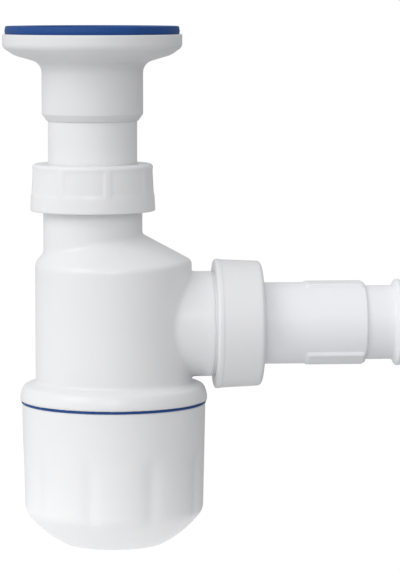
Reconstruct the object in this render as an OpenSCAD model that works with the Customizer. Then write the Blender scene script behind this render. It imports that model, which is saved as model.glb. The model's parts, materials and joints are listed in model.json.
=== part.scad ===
// Bottle trap for a sink or basin: waste with its blue sealing ring, telescopic inlet tube,
// bottle body with a screw-off cup, side outlet with a union nut, and a flexible waste hose.
// Millimetres. +Z is up, the outlet points along +X, and the origin is the centre of the cup's foot.

/* [Cup] */
// Height of the cup from its foot to its rim
cup_h = 69.3; // [60:0.1:80]
// Outside radius of the cup at its rim
cup_rim_r = 44.85; // [44:0.05:46]
// Outside radius of the cup's side just above its domed base
cup_low_r = 43.8; // [43:0.1:44]
// Radius of the domed base
cup_dome_r = 54; // [50:1:60]
// Radius of the flat foot that the dome ends in
cup_foot_r = 24.5; // [16:0.5:26]
// Radius of the rounding between the dome and the side
cup_round_r = 8; // [6:0.5:12]
// Wall of the cup below its thread
cup_wall = 2.6; // [2:0.1:3]

/* [Bottle body] */
// Outside radius of the bottle body
body_r = 38.25; // [37:0.05:39]
// Wall of the moulded bottle body
body_wall = 2.5; // [2:0.1:3]
// Radius of the flange that the cup's ring seals against
flange_r = 45.85; // [45:0.05:47]
// Height of that flange
flange_h = 9; // [7:0.5:11]
// Outside radius of the thread that the cup screws onto
cup_thread_r = 41.7; // [41:0.1:42]
// Height of the middle of the line where the neck leaves the shoulder
shoulder_z = 147.5; // [144:0.1:149]
// Tilt of that line towards the outlet side
shoulder_tilt = 10.5; // [0:0.5:12]
// Slope of the shoulder cone from the horizontal
shoulder_slope = 39; // [35:1:45]

/* [Inlet] */
// How far the inlet stands off the bottle's axis
inlet_offset = 10; // [8:0.5:11]
// Outside radius of the neck and of its thread
neck_r = 24.15; // [24:0.05:24.5]
// Height of the neck's mouth above the foot
neck_top_z = 177; // [174:1:180]
// Outside radius of the inlet tube
tube_r = 21.7; // [21:0.05:21.8]
// Wall of the inlet tube
tube_wall = 1.8; // [1.5:0.1:2.2]
// Height of the inlet tube's lower end, which makes the water seal
tube_bottom_z = 34; // [30:1:45]
// Height of the inlet nut
inlet_nut_h = 22.9; // [21:0.1:23.5]

/* [Waste] */
// Outside radius of the waste's stem
stem_r = 24.65; // [24:0.05:25]
// Height of the stem's lower lip
stem_z = 207.1; // [206:0.1:208]
// Radius of the waste's rim
rim_r = 43.7; // [43:0.1:45]
// Height of the seat that the sealing ring lies on
seat_z = 249.1; // [248:0.1:250]
// Thickness of the sealing ring under the sink
ring_h = 3.9; // [3:0.1:5]
// Outside radius of that sealing ring
ring_r = 42.5; // [41:0.1:43.5]
// Outside radius of the strainer
strainer_r = 31.5; // [30:0.1:31.8]
// Number of round holes in the strainer's outer row
strainer_holes = 12; // [8:1:14]

/* [Outlet] */
// Height of the outlet's axis
outlet_z = 107.5; // [105:0.5:110]
// Outside radius of the outlet's boss, where it leaves the body
boss_r = 25.75; // [25:0.05:26]
// Outside radius of the outlet's thread
outlet_thread_r = 25.3; // [25:0.1:25.5]
// How far the outlet's mouth stands off the bottle's axis
outlet_x = 64; // [60:1:66]
// Outside radius of the 40 mm cuff on the hose
cuff_r = 20; // [19.5:0.1:20.2]
// End of the cuff that lies away from the bottle
cuff_end_x = 123.2; // [120:0.1:126]

/* [Flexible hose] */
// Outside radius of the hose over its ridges
hose_r = 21.3; // [20:0.1:21.5]
// Outside radius of the hose's plain ends
hose_plain_r = 18.2; // [17.5:0.05:18.25]
// Wall that stands for the hose's corrugated wall
hose_wall = 1.4; // [1:0.1:2]
// Outside radius of the end cuff's 50 mm step
end_big_r = 25; // [23:0.1:25]
// Outside radius of the end cuff's 40 mm step
end_small_r = 20; // [19.5:0.1:20.2]

/* [Hidden] */

$fn = 96;

white = "whitesmoke";
blue = "#23458A";
steel = "silver";
brass = "goldenrod";

gap = 0.3;                               // clearance between threads, and round free pieces
slip = 0.05;                             // clearance where a seal grips a tube

gasket_h = 1.2;                          // thickness of the ring between cup and flange
flange_z = cup_h + gasket_h;             // underside of the flange
flange_top_z = flange_z + flange_h;
skirt_h = 14;                            // length of the threaded skirt under the flange
skirt_wall = 3.3;
cup_bore_r = cup_thread_r + gap;
dome_z = sqrt(pow(cup_dome_r, 2) - pow(cup_foot_r, 2));       // height of the dome's centre
cup_low_z = dome_z - sqrt(pow(cup_dome_r - cup_round_r, 2) - pow(cup_low_r - cup_round_r, 2));
cup_bore_h = 15;                         // depth of the threaded part of the cup

bore_r = tube_r + gap;                   // bore of the neck round the inlet tube
seat_depth = 6;                          // depth of each conical seal seat
seat_flare = 1.2;                        // how much a seal seat widens over its depth
nut_web = 3.2;                           // thickness of a union nut's end web

web_z = 183.1;                           // underside of the inlet nut's web
inlet_nut_z = web_z + nut_web - inlet_nut_h;

socket_top_z = 224;                      // stop inside the stem, where the tube ends
throat_r = 20.6;                         // radius of the throat above that stop
hub_r = 6.5;                             // hub of the cross that holds the screw
hub_z = 226;
hub_top_z = 238.5;
insert_r = 4.5;
insert_z = 229;
screw_r = 2.95;
screw_z = 216;                           // tip of the strainer's screw
ledge_z = 241.2;                         // ledge in the bowl, where the strainer lies
bowl_r = 32.2;                           // radius of the bowl above that ledge
sheet = 0.8;                             // strainer's sheet thickness
grate_z = ledge_z + 1.4;                 // underside of the strainer's rim
grate_dish = 2.6;                        // depth of the strainer's dish

outlet_web_x = 69;                       // inner face of the outlet nut's web
outlet_nut_h = 23;
outlet_nut_x = outlet_web_x + nut_web - outlet_nut_h;
outlet_bore_r = cuff_r + gap;
cuff_start_x = 42.5;
cuff_bore_r = hose_plain_r + slip;
socket_x = 95.5;                         // where the cuff's socket for the hose begins
pad_x = 92;                              // grip pads on the cuff start here
pad_h = 0.9;
pads = [[-90, 98], [90, 50]];            // middle of each pad in degrees up from the front, and width

end_x = 440;                             // near face of the end cuff
end_z = 25;                              // height of the end cuff's axis
end_step_x = 478;
end_tip_x = 510;

// Middle line of the hose, from inside the cuff to inside the end cuff, as [x, z]: straight out
// of the cuff, down in a long S, and along the surface that the trap stands on.
hose_route = [
    [96, 107.5], [117, 107.5], [136, 107.5], [141, 107.5], [165, 107.5],
    [185, 106.5], [205, 102.5], [224, 96.5], [242.5, 88], [260, 77.5], [276, 65],
    [292, 52], [309.5, 41.5], [328, 33], [347, 27], [367, 23.5], [387, 22],
    [403, 22], [418, 22.5], [431, 23.5], [438, 24.5], [457, 25]
];
hose_first_ridge = 3;                    // route point where the ridges begin
hose_last_ridge = 19;                    // route point where they end
hose_sides = 12;

// Points of an arc about [x, y], from angle a to angle b, in n steps.
function arc(x, y, r, a, b, n) =
    [for (i = [0 : n]) [x + r * cos(a + (b - a) * i / n), y + r * sin(a + (b - a) * i / n)]];

// Places a piece on the inlet's axis, or on the outlet's axis with +Z turned to +X.
module on_inlet() translate([-inlet_offset, 0, 0]) children();
module on_outlet() translate([0, 0, outlet_z]) rotate([0, 90, 0]) children();

// A plain tube or washer between two heights.
module tube(r_out, r_in, z0, z1) {
    translate([0, 0, z0]) difference() {
        cylinder(r = r_out, h = z1 - z0);
        translate([0, 0, -1]) cylinder(r = r_in, h = z1 - z0 + 2);
    }
}

// Cone seal: a ring that widens from its tip to a head which lies on the mouth it seals.
// The mouth is at height z; the head stands head_h above it.
module cone_seal(r_in, seat_r, head_r, z, head_h) {
    rotate_extrude() polygon([
        [r_in, z - seat_depth + 1],
        [seat_r + seat_flare / seat_depth - 0.1, z - seat_depth + 1],
        [seat_r + seat_flare - 0.1, z],
        [seat_r + seat_flare - 0.1, z + 0.1],
        [head_r, z + 0.1],
        [head_r, z + head_h],
        [r_in, z + head_h]
    ]);
}

// Union nut: threaded bore below a web with a hole for the tube.
module union_nut(r_low, r_top, r_bore, r_hole, z, h) {
    rotate_extrude() polygon([
        [r_bore, z],
        [r_low - 0.6, z],
        [r_low, z + 0.6],
        [r_top, z + h - 1.6],
        [r_top - 1.2, z + h],
        [r_hole, z + h],
        [r_hole, z + h - nut_web],
        [r_bore, z + h - nut_web]
    ]);
}

module cup() {
    inner_low_r = cup_low_r - cup_wall;
    inner_round_r = cup_round_r - cup_wall;
    inner_dome_r = cup_dome_r - cup_wall;
    round_r = cup_low_r - cup_round_r;
    turn = atan2(cup_low_z - dome_z, round_r);
    color(white) rotate_extrude() polygon(concat(
        [[0, 0]],
        arc(0, dome_z, cup_dome_r, -acos(cup_foot_r / cup_dome_r), turn, 12),
        arc(round_r, cup_low_z, cup_round_r, turn, 0, 6),
        [[cup_rim_r, cup_h - 0.4], [cup_rim_r - 0.4, cup_h]],
        [[cup_bore_r, cup_h], [cup_bore_r, cup_h - cup_bore_h]],
        [[inner_low_r + 0.3, cup_h - cup_bore_h - 1.2]],
        arc(round_r, cup_low_z, inner_round_r, 0, turn, 6),
        arc(0, dome_z, inner_dome_r, turn, -90 + asin(sqrt(1 - pow((dome_z - cup_wall) / inner_dome_r, 2))), 12),
        [[0, cup_wall]]
    ));
}

module cup_gasket() color(blue) tube(cup_rim_r + 0.45, cup_bore_r, cup_h, flange_z);

// Body and shoulder as one closed form from height z0 up. Its top is a tilted cone round the
// inlet's axis; inset moves every face inwards by that much.
module bottle_form(inset, z0) {
    mouth_r = neck_r - inset / sin(shoulder_slope);
    reach = 34;
    rise = 3;
    intersection() {
        translate([0, 0, z0]) cylinder(r = body_r - inset, h = 100);
        translate([-inlet_offset, 0, shoulder_z]) rotate([0, -shoulder_tilt, 0]) rotate_extrude() polygon([
            [0, -120],
            [mouth_r + reach / tan(shoulder_slope), -120],
            [mouth_r + reach / tan(shoulder_slope), -reach],
            [mouth_r - rise / tan(shoulder_slope), rise],
            [0, rise]
        ]);
    }
}

module bottle_body() color(white) difference() {
    union() {
        bottle_form(0, flange_z);
        rotate_extrude() polygon(concat(
            [[0, flange_z], [flange_r - 0.5, flange_z], [flange_r, flange_z + 0.5]],
            arc(flange_r - 4, flange_top_z - 4, 4, 0, 90, 5),
            [[0, flange_top_z]]
        ));
        translate([0, 0, flange_z - skirt_h]) cylinder(r = cup_thread_r, h = skirt_h + 1);
        on_inlet() translate([0, 0, shoulder_z - 8]) cylinder(r = neck_r, h = neck_top_z - shoulder_z + 8);
        on_outlet() translate([0, 0, body_r - 10]) cylinder(r = outlet_thread_r, h = outlet_x - body_r + 10);
        on_outlet() translate([0, 0, body_r - 10]) cylinder(r = boss_r, h = outlet_nut_x - body_r + 9.6);
    }
    bottle_form(body_wall, flange_z - skirt_h - 1);
    translate([0, 0, flange_z - skirt_h - 1]) cylinder(r = cup_thread_r - skirt_wall, h = skirt_h - 3);
    on_inlet() translate([0, 0, shoulder_z - 20]) cylinder(r = bore_r, h = 60);
    on_inlet() translate([0, 0, neck_top_z - seat_depth])
        cylinder(r1 = bore_r, r2 = bore_r + seat_flare, h = seat_depth);
    on_inlet() translate([0, 0, neck_top_z - 0.01]) cylinder(r = bore_r + seat_flare, h = 5);
    on_outlet() translate([0, 0, body_r - 12]) cylinder(r = outlet_bore_r - 2, h = 30);
    on_outlet() translate([0, 0, cuff_start_x - 0.5]) cylinder(r = outlet_bore_r, h = 30);
    on_outlet() translate([0, 0, outlet_x - seat_depth])
        cylinder(r1 = outlet_bore_r, r2 = outlet_bore_r + seat_flare, h = seat_depth);
}

module inlet_seal() color(blue) on_inlet()
    cone_seal(tube_r + slip, bore_r, neck_r - gap, neck_top_z, 2.8);

module inlet_slip_ring() color(white) on_inlet()
    tube(neck_r - gap, tube_r + 0.1, neck_top_z + 2.9, web_z - 0.1);

module inlet_nut() color(white) on_inlet()
    union_nut(30.5, 29.3, neck_r + gap, tube_r + gap, inlet_nut_z, inlet_nut_h);

module inlet_tube() color(white) on_inlet() difference() {
    tube(tube_r, tube_r - tube_wall, tube_bottom_z, socket_top_z);
    translate([0, 0, tube_bottom_z - 0.01])
        cylinder(r1 = tube_r - 0.7, r2 = tube_r - tube_wall, h = 1.2);
}

// Waste: stem with a socket for the tube, flared bowl, flat seat, and the cross in its throat.
module waste_body() color(white) on_inlet() {
    difference() {
        rotate_extrude() polygon(concat(
            [[tube_r + slip, stem_z + 0.5], [tube_r + 0.5, stem_z], [stem_r, stem_z + 4]],
            [[stem_r, 231.5]],
            arc(stem_r + 4, 231.5, 4, 180, 120, 4),
            [[32.3, 237.1], [38.2, 239.4], [41.9, 241.6], [43.3, 243.2]],
            [[rim_r, 244.8], [rim_r, seat_z - 1.6], [rim_r - 1, seat_z]],
            [[bowl_r + 0.6, seat_z], [bowl_r, seat_z - 0.6]],
            [[bowl_r, ledge_z], [28.5, ledge_z], [throat_r, 233.5]],
            [[throat_r, socket_top_z + 0.1], [tube_r + slip, socket_top_z + 0.1]]
        ));
        tube(rim_r - 2.8, bowl_r + 2.4, 244, seat_z + 1);
    }
    difference() {
        union() {
            translate([0, 0, hub_z]) cylinder(r = hub_r, h = hub_top_z - hub_z);
            for (a = [45, 135]) rotate([0, 0, a])
                translate([-throat_r - 0.4, -1.2, hub_z + 2]) cube([2 * throat_r + 0.8, 2.4, 7]);
        }
        translate([0, 0, hub_z - 1]) cylinder(r = screw_r + 0.25, h = 20);
        translate([0, 0, insert_z]) cylinder(r = insert_r, h = 20);
    }
}

module sink_gasket() color(blue) on_inlet() rotate_extrude() polygon([
    [bowl_r + 0.8, seat_z],
    [ring_r - 0.5, seat_z],
    [ring_r, seat_z + 0.5],
    [ring_r, seat_z + ring_h - 0.8],
    [ring_r - 0.8, seat_z + ring_h],
    [bowl_r + 0.8, seat_z + ring_h]
]);

module screw_insert() color(brass) on_inlet() tube(insert_r, screw_r + 0.08, insert_z, hub_top_z);

module grate_gasket() color(blue) on_inlet() tube(strainer_r, 28.8, ledge_z, grate_z);

module strainer_grate() color(steel) on_inlet() difference() {
    rotate_extrude() polygon([
        [3.3, grate_z - grate_dish],
        [24.4, grate_z - grate_dish],
        [28.2, grate_z],
        [strainer_r, grate_z],
        [strainer_r, grate_z + sheet],
        [27.9, grate_z + sheet],
        [24.1, grate_z + sheet - grate_dish],
        [3.3, grate_z + sheet - grate_dish]
    ]);
    for (i = [0 : strainer_holes - 1]) rotate([0, 0, i * 360 / strainer_holes])
        translate([19.5, 0, grate_z - grate_dish - 1]) cylinder(r = 3, h = 3);
    for (i = [0 : strainer_holes / 2 - 1]) rotate([0, 0, (i + 0.5) * 720 / strainer_holes])
        translate([11.3, 0, grate_z - grate_dish - 1]) cylinder(r = 3, h = 3);
}

module grate_screw() color(steel) on_inlet() {
    head_z = grate_z + sheet - grate_dish;
    difference() {
        rotate_extrude() polygon(concat(
            [[0, screw_z], [screw_r - 0.6, screw_z], [screw_r, screw_z + 0.6], [screw_r, head_z]],
            [[5.8, head_z], [5.8, head_z + 1.4]],
            arc(3.8, head_z + 1.4, 2, 0, 90, 4),
            [[0, head_z + 3.4]]
        ));
        translate([-7, -0.6, head_z + 1.8]) cube([14, 1.2, 4]);
    }
}

module outlet_seal() color(blue) on_outlet()
    cone_seal(cuff_r + slip, outlet_bore_r, outlet_thread_r - gap, outlet_x, 2.8);

module outlet_slip_ring() color(white) on_outlet()
    tube(outlet_thread_r - gap, cuff_r + 0.1, outlet_x + 2.9, outlet_web_x - 0.1);

module outlet_nut() color(white) on_outlet()
    union_nut(31.8, 30.6, outlet_thread_r + gap, cuff_r + gap, outlet_nut_x, outlet_nut_h);

// Rigid 40 mm cuff with grip pads over the socket that holds the hose's plain end.
module hose_cuff() color(white) on_outlet() {
    difference() {
        union() {
            rotate_extrude() polygon([
                [0, cuff_start_x], [cuff_r - 0.8, cuff_start_x], [cuff_r, cuff_start_x + 2],
                [cuff_r, cuff_end_x - 0.5], [cuff_r - 0.5, cuff_end_x], [0, cuff_end_x]
            ]);
            for (pad = pads)
                rotate([0, 0, -90 - pad[0] - pad[1] / 2])
                    rotate_extrude(angle = pad[1]) polygon([
                        [cuff_r - 0.8, pad_x],
                        [cuff_r + pad_h, pad_x + 1.7],
                        [cuff_r + pad_h, cuff_end_x - 2.5],
                        [cuff_r - 0.8, cuff_end_x - 1]
                    ]);
        }
        translate([0, 0, cuff_start_x - 1]) cylinder(r = cuff_r - 2.1, h = cuff_end_x);
        translate([0, 0, socket_x]) cylinder(r = cuff_bore_r, h = cuff_end_x);
    }
}

// Direction of the route at point i, from its neighbours.
function route_dir(i) =
    let (
        a = hose_route[max(i - 1, 0)],
        b = hose_route[min(i + 1, len(hose_route) - 1)],
        d = b - a
    ) d / norm(d);

// Outside radius of the hose at route point i: plain at both ends, full size over the ridges.
function hose_radius(i) = i >= hose_first_ridge && i <= hose_last_ridge ? hose_r : hose_plain_r;

// One ring of points round route point i, across the route.
function hose_ring(i, r) = [
    for (k = [0 : hose_sides - 1])
        let (
            a = (k + 0.5) * 360 / hose_sides,
            d = route_dir(i),
            up = r * sin(a)
        ) [hose_route[i][0] - d[1] * up, r * cos(a), hose_route[i][1] + d[0] * up]
];

// Hose as one closed tube wall: outer rings first, then inner rings, joined at both ends.
module flex_hose() {
    count = len(hose_route);
    sides = hose_sides;
    last = count - 1;
    points = concat(
        [for (i = [0 : last], p = hose_ring(i, hose_radius(i))) p],
        [for (i = [0 : last], p = hose_ring(i, hose_radius(i) - hose_wall)) p]
    );
    function at(inner, i, k) = (inner * count + i) * sides + k % sides;
    faces = concat(
        [for (i = [0 : last - 1], k = [0 : sides - 1])
            [at(0, i, k), at(0, i, k + 1), at(0, i + 1, k + 1), at(0, i + 1, k)]],
        [for (i = [0 : last - 1], k = [0 : sides - 1])
            [at(1, i, k), at(1, i + 1, k), at(1, i + 1, k + 1), at(1, i, k + 1)]],
        [for (k = [0 : sides - 1]) [at(0, 0, k), at(1, 0, k), at(1, 0, k + 1), at(0, 0, k + 1)]],
        [for (k = [0 : sides - 1])
            [at(0, last, k), at(0, last, k + 1), at(1, last, k + 1), at(1, last, k)]]
    );
    color(white) polyhedron(points, faces);
}

// End cuff with a 50 mm step and a 40 mm tip, for either size of waste pipe.
module end_cuff() color(white) translate([0, 0, end_z]) rotate([0, 90, 0]) rotate_extrude() polygon([
    [cuff_bore_r, end_x],
    [end_big_r - 0.6, end_x],
    [end_big_r, end_x + 0.6],
    [end_big_r, end_step_x - 1.5],
    [end_big_r - 1.2, end_step_x],
    [end_small_r, end_step_x + 1],
    [end_small_r, end_tip_x - 2],
    [end_small_r - 0.8, end_tip_x],
    [end_small_r - 2.2, end_tip_x],
    [end_small_r - 2.2, 458],
    [cuff_bore_r, 458]
]);

cup();
cup_gasket();
bottle_body();
inlet_seal();
inlet_slip_ring();
inlet_nut();
inlet_tube();
waste_body();
sink_gasket();
screw_insert();
grate_gasket();
strainer_grate();
grate_screw();
outlet_seal();
outlet_slip_ring();
outlet_nut();
hose_cuff();
flex_hose();
end_cuff();
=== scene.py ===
import json
import math
import bpy
import numpy as np
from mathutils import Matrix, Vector


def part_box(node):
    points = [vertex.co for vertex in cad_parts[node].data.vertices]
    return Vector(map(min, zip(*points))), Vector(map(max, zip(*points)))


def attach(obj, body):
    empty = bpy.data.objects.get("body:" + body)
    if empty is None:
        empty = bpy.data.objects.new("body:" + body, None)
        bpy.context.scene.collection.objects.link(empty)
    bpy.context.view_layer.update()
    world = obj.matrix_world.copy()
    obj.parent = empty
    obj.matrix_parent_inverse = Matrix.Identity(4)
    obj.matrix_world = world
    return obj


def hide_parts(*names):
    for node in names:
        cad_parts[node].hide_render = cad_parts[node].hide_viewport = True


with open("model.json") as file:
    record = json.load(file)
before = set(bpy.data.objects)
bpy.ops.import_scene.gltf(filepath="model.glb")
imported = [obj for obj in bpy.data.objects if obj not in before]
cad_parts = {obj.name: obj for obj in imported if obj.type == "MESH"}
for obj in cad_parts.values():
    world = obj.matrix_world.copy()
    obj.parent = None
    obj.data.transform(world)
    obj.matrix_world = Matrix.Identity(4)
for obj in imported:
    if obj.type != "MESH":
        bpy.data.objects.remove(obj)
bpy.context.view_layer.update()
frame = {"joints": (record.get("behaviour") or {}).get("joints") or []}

mm = 0.001
joints = {joint["name"]: joint for joint in frame["joints"]}

# Where things are, from the CAD frame

cupLow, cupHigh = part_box("cup")
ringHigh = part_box("cup_gasket")[1]
bodyLow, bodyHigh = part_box("bottle_body")
tubeLow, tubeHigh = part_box("inlet_tube")
inletAxis = ((tubeLow.x + tubeHigh.x) / 2, 0.0)          # the inlet stands off the bottle's axis
outletZ = joints["outlet_nut_turn"]["pos_m"][2]          # height of the outlet's axis
nutPitch = 4 * mm                                        # lead of the union nuts and of the cup
screwPitch = 1 * mm                                      # lead of the strainer's M6 screw
cos45 = 0.7071


# Camera and hose come first

# Long lens at eye level with the waste, looking a little down and to the right.
cameraPlace = {"position": (-0.065, -1.440, 0.2685), "target": (0.0424, 0.0, 0.1265), "lens": 187.0}


def makeCamera():
    data = bpy.data.cameras.new("camera")
    camera = bpy.data.objects.new("camera", data)
    bpy.context.scene.collection.objects.link(camera)
    position, target = Vector(cameraPlace["position"]), Vector(cameraPlace["target"])
    camera.location = position
    camera.rotation_mode = "QUATERNION"
    camera.rotation_quaternion = (target - position).to_track_quat("-Z", "Y")
    data.lens = cameraPlace["lens"]
    data.sensor_width = 36
    data.clip_start, data.clip_end = 0.05, 60
    bpy.context.scene.camera = camera


makeCamera()
print("camera set")

# Small tools for surfaces


def inMetres(values):
    # a dictionary of numbers, or tuples of numbers, in millimetres
    return {key: value * mm if np.isscalar(value) else tuple(v * mm for v in value)
            for key, value in values.items()}


def smoothStep(low, high, value):
    # 0 below low, 1 above high, 3t^2 - 2t^3 between
    t = np.clip((value - low) / (high - low), 0, 1)
    return t * t * (3 - 2 * t)


def filleted(profile, perArc=5):
    # profile is a list of (radius, height, fillet); each corner becomes an arc tangent to both its sides
    out = []
    count = len(profile)
    for i, (r, z, fillet) in enumerate(profile):
        here = np.array([r, z], float)
        if fillet <= 0:
            out.append(here)
            continue
        before = np.array(profile[i - 1][:2], float) - here
        after = np.array(profile[(i + 1) % count][:2], float) - here
        a, b = before / np.linalg.norm(before), after / np.linalg.norm(after)
        half = math.acos(np.clip(a @ b, -1, 1)) / 2
        reach = min(fillet / math.tan(half), 0.48 * min(np.linalg.norm(before), np.linalg.norm(after)))
        radius = reach * math.tan(half)
        middle = here + (a + b) / np.linalg.norm(a + b) * radius / math.sin(half)
        start, end = here + a * reach - middle, here + b * reach - middle
        turn = math.atan2(start[0] * end[1] - start[1] * end[0], start @ end)
        for k in range(perArc + 1):
            c, s = math.cos(turn * k / perArc), math.sin(turn * k / perArc)
            out.append(middle + [start[0] * c - start[1] * s, start[0] * s + start[1] * c])
    return np.array(out)


def arc(r, z, radius, start, end, steps):
    # points on a circle about (r, z), from one angle to another in degrees
    turn = np.radians(np.linspace(start, end, steps + 1))
    return [(r + radius * math.cos(t), z + radius * math.sin(t), 0) for t in turn]


def subdivided(profile, longest):
    # points added along each side of a closed profile, so that no side is longer than longest
    out = []
    for here, after in zip(profile, np.roll(profile, -1, axis=0)):
        steps = max(1, int(math.ceil(np.linalg.norm(after - here) / longest)))
        out.append(here + (after - here) * np.arange(steps)[:, None] / steps)
    return np.concatenate(out)


def gridFaces(rows, columns, closeRows, closeColumns):
    # quads of a rows x columns grid, row by row, joined round in either direction if asked
    i = np.arange(rows if closeRows else rows - 1)[:, None]
    j = np.arange(columns if closeColumns else columns - 1)[None, :]
    nextI, nextJ = (i + 1) % rows, (j + 1) % columns
    corners = (i * columns + j, i * columns + nextJ, nextI * columns + nextJ, nextI * columns + j)
    return np.stack(corners, -1).reshape(-1, 4)


def addMesh(name, points, faces, smooth=True):
    # numpy arrays of points and quads (or triangles) into a mesh object at the origin
    mesh = bpy.data.meshes.new(name)
    mesh.vertices.add(len(points))
    mesh.vertices.foreach_set("co", np.ascontiguousarray(points, np.float32).ravel())
    side = faces.shape[1]
    mesh.loops.add(faces.size)
    mesh.loops.foreach_set("vertex_index", np.ascontiguousarray(faces, np.int32).ravel())
    mesh.polygons.add(len(faces))
    mesh.polygons.foreach_set("loop_start", np.arange(0, faces.size, side, dtype=np.int32))
    mesh.polygons.foreach_set("use_smooth", np.full(len(faces), smooth))
    mesh.update(calc_edges=True)
    mesh.validate()
    piece = bpy.data.objects.new(name, mesh)
    bpy.context.scene.collection.objects.link(piece)
    return piece


def finishPiece(piece, body, material, slot, *nodes):
    piece.data.materials.append(material)
    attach(piece, body)
    if nodes:
        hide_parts(*nodes)
    return piece


def upright(axis):
    # maps (radius, angle, height) to space round a vertical axis at (x, y); angle 0 is +X
    def place(r, angle, z):
        return np.stack([axis[0] + r * np.cos(angle), axis[1] + r * np.sin(angle), z], -1)
    return place


def alongX(height):
    # maps (radius, angle, distance) to space round an axis along +X; angle 0 is up, -90 degrees the front
    def place(r, angle, x):
        return np.stack([x, r * np.sin(angle), height + r * np.cos(angle)], -1)
    return place


inletPlace, outletPlace, bodyPlace = upright(inletAxis), alongX(outletZ), upright((0, 0))


def lathe(name, profile, steps, place, shape=None):
    # r, z = profile(s); the surface is place(r, a, z) for a full turn of a, and shape(r, a, z) may change r
    r, z = profile[:, 0][:, None], profile[:, 1][:, None]
    angle = np.linspace(0, 2 * np.pi, steps, endpoint=False)[None, :]
    r, angle, z = np.broadcast_arrays(r, angle, z)
    if shape is not None:
        r = shape(r, angle, z)
    return addMesh(name, place(r, angle, z).reshape(-1, 3), outwardLathe(profile, steps, place))


def outwardLathe(profile, steps, place):
    # the profile's turning sense and the axis's direction say which way round the quads go
    faces = gridFaces(len(profile), steps, True, True)
    r, z = profile[:, 0], profile[:, 1]
    area = np.sum(r * np.roll(z, -1) - np.roll(r, -1) * z)
    origin, ahead = place(np.zeros(2), np.zeros(2), np.array([0.0, 1.0]))
    start, turned = place(np.ones(2), np.array([0.0, 0.1]), np.zeros(2))
    axis = np.cross(start - origin, turned - start)
    return faces if (area > 0) == (float(axis @ (ahead - origin)) > 0) else faces[:, ::-1]


def flatRing(name, node, inner, fillets, steps, place=inletPlace):
    # ring of rectangular section as high and as wide as the node; fillets in mm for its inner foot,
    # outer foot, outer top and inner top edge
    low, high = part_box(node)
    if place is outletPlace:
        outer, foot, top = (high.y - low.y) / 2, low.x, high.x
    else:
        outer, foot, top = (high.x - low.x) / 2, low.z, high.z
    corners = ((inner, foot), (outer, foot), (outer, top), (inner, top))
    profile = [(r, z, fillet * mm) for (r, z), fillet in zip(corners, fillets)]
    return lathe(name, filleted(profile), steps, place)


ridge = {"perTurn": 72, "fade": 0.12, "sink": 0.15 * mm, "bevel": 0.18 * mm}    # fade is in turns


def helixRidge(name, place, rootR, crestR, start, end, pitch, phase, baseWidth, topWidth, hand=1):
    # ridge of width baseWidth at its root and topWidth at its crest, wound round the axis:
    # z = start + pitch * angle / 2pi; its height fades away at both ends
    turns = (end - start) / pitch
    count = int(turns * ridge["perTurn"]) + 1
    t = np.linspace(0, turns, count)
    fade = smoothStep(0, ridge["fade"], t) * smoothStep(0, ridge["fade"], turns - t)
    angle = hand * 2 * np.pi * t + phase
    crest = rootR + (crestR - rootR) * fade
    sunk = rootR - ridge["sink"] * np.sign(crestR - rootR)
    middle = start + pitch * t
    side = np.array([-baseWidth / 2, -topWidth / 2, topWidth / 2, baseWidth / 2])
    top = np.array([0, 1, 1, 0])
    r = np.where(top[None, :] > 0, crest[:, None], sunk)
    z = middle[:, None] + side[None, :]
    points = place(r, np.broadcast_to(angle[:, None], r.shape), z).reshape(-1, 3)
    faces = gridFaces(count, 4, False, True)
    caps = np.array([[0, 1, 2, 3], [4 * count - 1, 4 * count - 2, 4 * count - 3, 4 * count - 4]])
    piece = addMesh(name, points, np.concatenate([faces, caps]))
    flipIfInside(piece)
    edge = piece.modifiers.new("bevel", "BEVEL")
    edge.width, edge.segments, edge.limit_method = ridge["bevel"], 2, "ANGLE"
    return piece


def signedVolume(mesh):
    # sum of a . (b x c) / 6 over a triangle fan of every face
    points = np.empty(len(mesh.vertices) * 3, np.float32)
    mesh.vertices.foreach_get("co", points)
    points = points.reshape(-1, 3).astype(float)
    mesh.calc_loop_triangles()
    corners = np.empty(len(mesh.loop_triangles) * 3, np.int32)
    mesh.loop_triangles.foreach_get("vertices", corners)
    a, b, c = (points[corners.reshape(-1, 3)[:, k]] for k in range(3))
    return float(np.sum(a * np.cross(b, c)) / 6)


def flipIfInside(piece):
    if signedVolume(piece.data) < 0:
        piece.data.flip_normals()
    return piece


# Solids from a distance formula


def softMin(a, b, k):
    # the smaller of two distances, with a fillet of about k where they meet
    h = np.maximum(k - np.abs(a - b), 0) / k
    return np.minimum(a, b) - h * h * k / 4


def softMax(a, b, k):
    return -softMin(-a, -b, k)


def rod(radial, along, radius, low, high, k):
    # distance to a rod between two heights, its edges rounded by about k
    return softMax(radial - radius, np.maximum(low - along, along - high), k)


net = {"rounds": 4, "probe": 0.05, "farthest": 0.4, "leastSlope": 0.05}    # probe and farthest are in cells


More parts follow.
